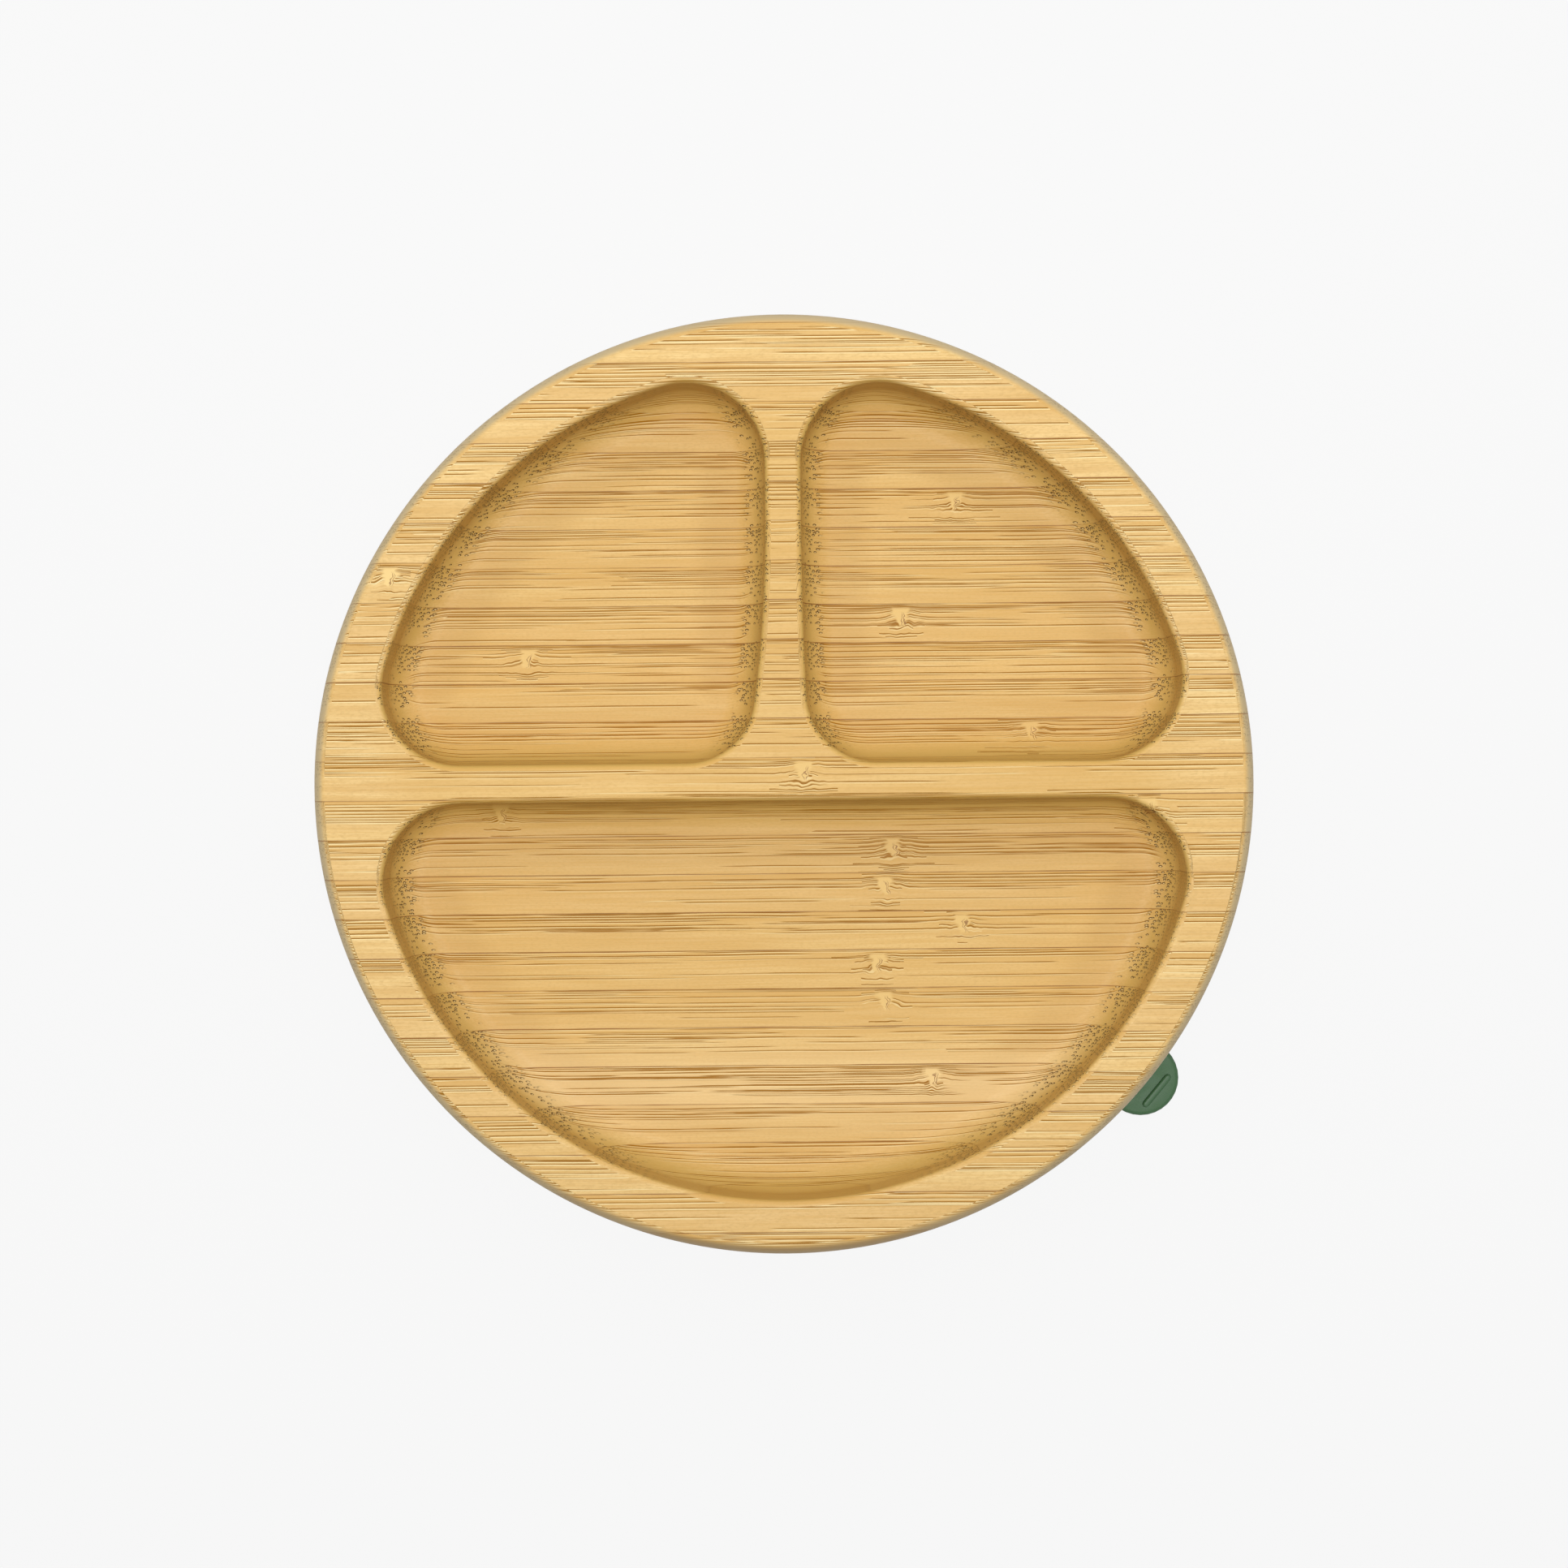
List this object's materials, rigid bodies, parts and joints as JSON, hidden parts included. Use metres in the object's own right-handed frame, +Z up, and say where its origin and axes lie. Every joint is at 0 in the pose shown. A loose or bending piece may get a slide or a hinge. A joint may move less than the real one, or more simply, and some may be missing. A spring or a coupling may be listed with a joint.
{
  "type": "suction plate",
  "caption": "Round divided bamboo plate, edge-glued from strips, on a removable silicone suction ring with a pull tab that breaks the seal.",
  "frame": {"origin": "on the table, under the centre of the plate", "axes": "+Z up, +Y towards the two upper compartments, +X to the right, along the bamboo strips"},
  "size_m": [0.18, 0.18, 0.027],
  "materials": {
    "bamboo": "oiled satin",
    "silicone": "matt"
  },
  "bodies": {
    "plate": {"bamboo_strip_01": "bamboo", "bamboo_strip_02": "bamboo", "bamboo_strip_03": "bamboo", "bamboo_strip_04": "bamboo", "bamboo_strip_05": "bamboo", "bamboo_strip_06": "bamboo", "bamboo_strip_07": "bamboo", "bamboo_strip_08": "bamboo", "bamboo_strip_09": "bamboo", "bamboo_strip_10": "bamboo", "bamboo_strip_11": "bamboo", "bamboo_strip_12": "bamboo", "bamboo_strip_13": "bamboo", "bamboo_strip_14": "bamboo", "bamboo_strip_15": "bamboo", "bamboo_strip_16": "bamboo", "bamboo_strip_17": "bamboo", "bamboo_strip_18": "bamboo", "bamboo_strip_19": "bamboo", "bamboo_strip_20": "bamboo", "bamboo_strip_21": "bamboo", "bamboo_strip_22": "bamboo", "bamboo_strip_23": "bamboo", "bamboo_strip_24": "bamboo", "bamboo_strip_25": "bamboo"},
    "suction_collar": {"suction_collar": "silicone"},
    "suction_skirt": {"suction_skirt": "silicone"},
    "pull_tab": {"pull_tab": "silicone"}
  },
  "joints": [
    {"name": "ring_removal", "type": "slide", "parent": "plate", "child": "suction_collar", "axis": [0, 0, -1], "range_m": [0, 0.02]},
    {"name": "suction_press", "type": "slide", "parent": "suction_collar", "child": "suction_skirt", "axis": [0, 0, 1], "range_m": [0, 0.002], "stiffness_N_per_m": 2000, "springref_m": -0.003},
    {"name": "tab_peel", "type": "hinge", "parent": "suction_skirt", "child": "pull_tab", "pos_m": [0.05397, -0.04528, 0.002], "axis": [-0.6428, -0.766, 0], "range_deg": [0, 18], "stiffness_Nm_per_rad": 0.02}
  ]
}
